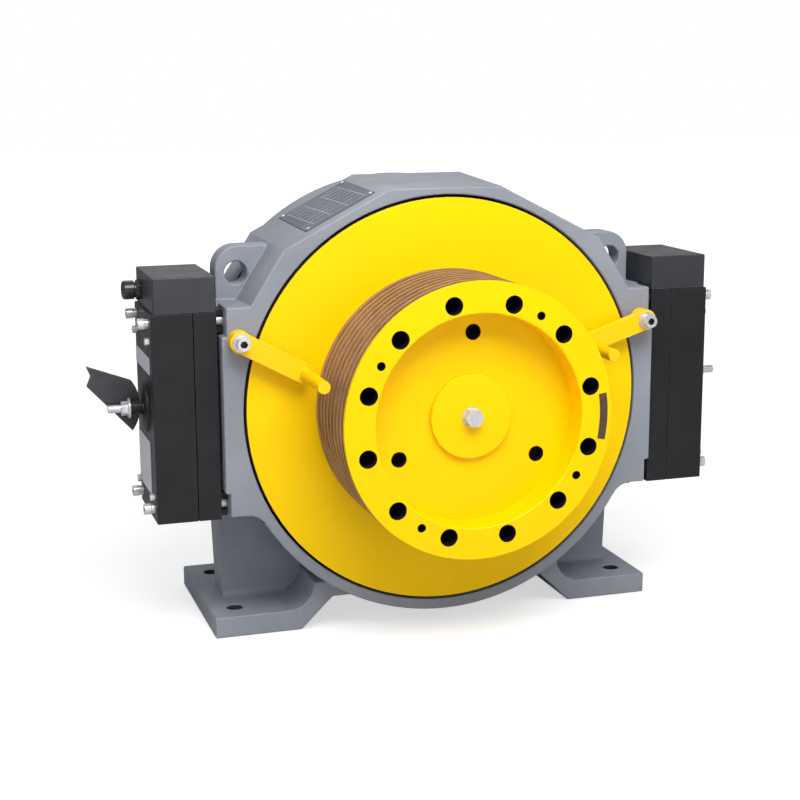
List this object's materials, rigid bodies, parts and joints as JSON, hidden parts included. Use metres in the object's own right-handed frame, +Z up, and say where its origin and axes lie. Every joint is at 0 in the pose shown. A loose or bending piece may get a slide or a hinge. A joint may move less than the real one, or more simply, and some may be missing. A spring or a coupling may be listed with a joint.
{
  "type": "elevator traction machine",
  "caption": "Gearless elevator hoist: outer-rotor motor in a footed casting, recessed rope sheave with undercut grooves, block brakes at both sides, swivelling rope guards and a hand release.",
  "frame": {"origin": "centre of the foot bolt pattern on the mounting plane under the feet", "axes": "+X to the right brake seen from the sheave, -Y along the shaft towards the sheave, +Z up"},
  "size_m": [1.005, 0.4571, 0.671],
  "materials": {
    "cast_grey": "semi-gloss grey paint on a sand casting",
    "machine_yellow": "gloss yellow paint on machined iron",
    "sheave_iron": "gloss yellow paint, with bare brown iron in the rope grooves",
    "guard_yellow": "gloss yellow paint on steel",
    "brake_black": "satin black coating on steel",
    "cover_black": "satin dark grey coating on sheet steel",
    "plastic_black": "moulded",
    "zinc_steel": "zinc plated",
    "dark_steel": "black oxide",
    "ground_steel": "ground",
    "copper": "varnished copper wire",
    "lamination": "stacked sheet steel",
    "lining": "moulded friction material",
    "plate_grey": "anodised, blank",
    "label_white": "blank printed film",
    "rust_brown": "bare machined iron with light rust"
  },
  "bodies": {
    "frame": {"housing": "cast_grey", "stator_core": "lamination", "stator_windings": "copper", "front_bearing_outer_ring": "ground_steel", "rear_bearing_outer_ring": "ground_steel", "shaft_seal": "plastic_black", "rear_bearing_cover": "cast_grey", "rear_cover_screws": "zinc_steel", "encoder": "plastic_black", "encoder_cover": "cover_black", "terminal_box": "cast_grey", "terminal_box_lid": "cast_grey", "small_cover_screws": "zinc_steel", "terminal_box_glands": "plastic_black", "terminal_block": "lining", "nameplate": "plate_grey", "nameplate_rivets": "zinc_steel", "left_brake_yoke": "brake_black", "left_brake_coils": "copper", "left_brake_springs": "dark_steel", "left_junction_cover": "cover_black", "left_cable_gland": "plastic_black", "left_brake_labels": "label_white", "right_brake_yoke": "brake_black", "right_brake_coils": "copper", "right_brake_springs": "dark_steel", "right_junction_cover": "cover_black", "right_cable_gland": "plastic_black", "brake_mounting_screws": "zinc_steel", "brake_hollow_sleeves": "zinc_steel", "brake_spacer_lugs": "brake_black", "brake_cover_screws": "zinc_steel", "guard_bolts": "zinc_steel", "guard_washers": "zinc_steel"},
    "left_armature": {"left_brake_armature": "brake_black", "left_brake_lining": "lining", "left_release_stud": "zinc_steel", "left_release_nut": "zinc_steel", "left_lever_pivot": "brake_black"},
    "right_armature": {"right_brake_armature": "brake_black", "right_brake_lining": "lining", "right_release_stud": "zinc_steel", "right_release_nut": "zinc_steel"},
    "left_lever": {"left_release_lever": "brake_black"},
    "rotor": {"rotor_drum": "machine_yellow", "rotor_magnets": "lamination", "main_shaft": "ground_steel", "shaft_key": "dark_steel", "traction_sheave": "sheave_iron", "sheave_bolts": "dark_steel", "shaft_end_plate": "machine_yellow", "shaft_end_bolt": "zinc_steel", "sheave_mark_strip": "rust_brown", "front_bearing_inner_ring": "ground_steel", "front_bearing_balls": "ground_steel", "rear_bearing_inner_ring": "ground_steel", "rear_bearing_balls": "ground_steel", "bearing_lock_nut": "dark_steel"},
    "left_guard": {"left_rope_guard": "guard_yellow"},
    "right_guard": {"right_rope_guard": "guard_yellow"}
  },
  "joints": [
    {"name": "rotor_spin", "type": "hinge", "parent": "frame", "child": "rotor", "pos_m": [0, -0.171, 0.345], "axis": [0, 1, 0], "continuous": true},
    {"name": "left_armature_slide", "type": "slide", "parent": "frame", "child": "left_armature", "axis": [-1, 0, 0], "range_m": [0, 0.0004]},
    {"name": "right_armature_slide", "type": "slide", "parent": "frame", "child": "right_armature", "axis": [1, 0, 0], "range_m": [0, 0.0004], "stiffness_N_per_m": 20000, "springref_m": -0.01},
    {"name": "left_lever_release", "type": "hinge", "parent": "left_armature", "child": "left_lever", "pos_m": [-0.4483, -0.0825, 0.349], "axis": [0, 1, 0], "range_deg": [0, 12], "stiffness_Nm_per_rad": 1, "springref_deg": -11.46},
    {"name": "left_guard_swing", "type": "hinge", "parent": "frame", "child": "left_guard", "pos_m": [-0.313, -0.171, 0.455], "axis": [0, -1, 0], "range_deg": [0, 60]},
    {"name": "right_guard_swing", "type": "hinge", "parent": "frame", "child": "right_guard", "pos_m": [0.313, -0.171, 0.455], "axis": [0, 1, 0], "range_deg": [0, 60]}
  ],
  "couplings": [
    {"joint": "left_lever_release", "follows": "left_armature_slide", "rad_per_m": 523.08}
  ]
}
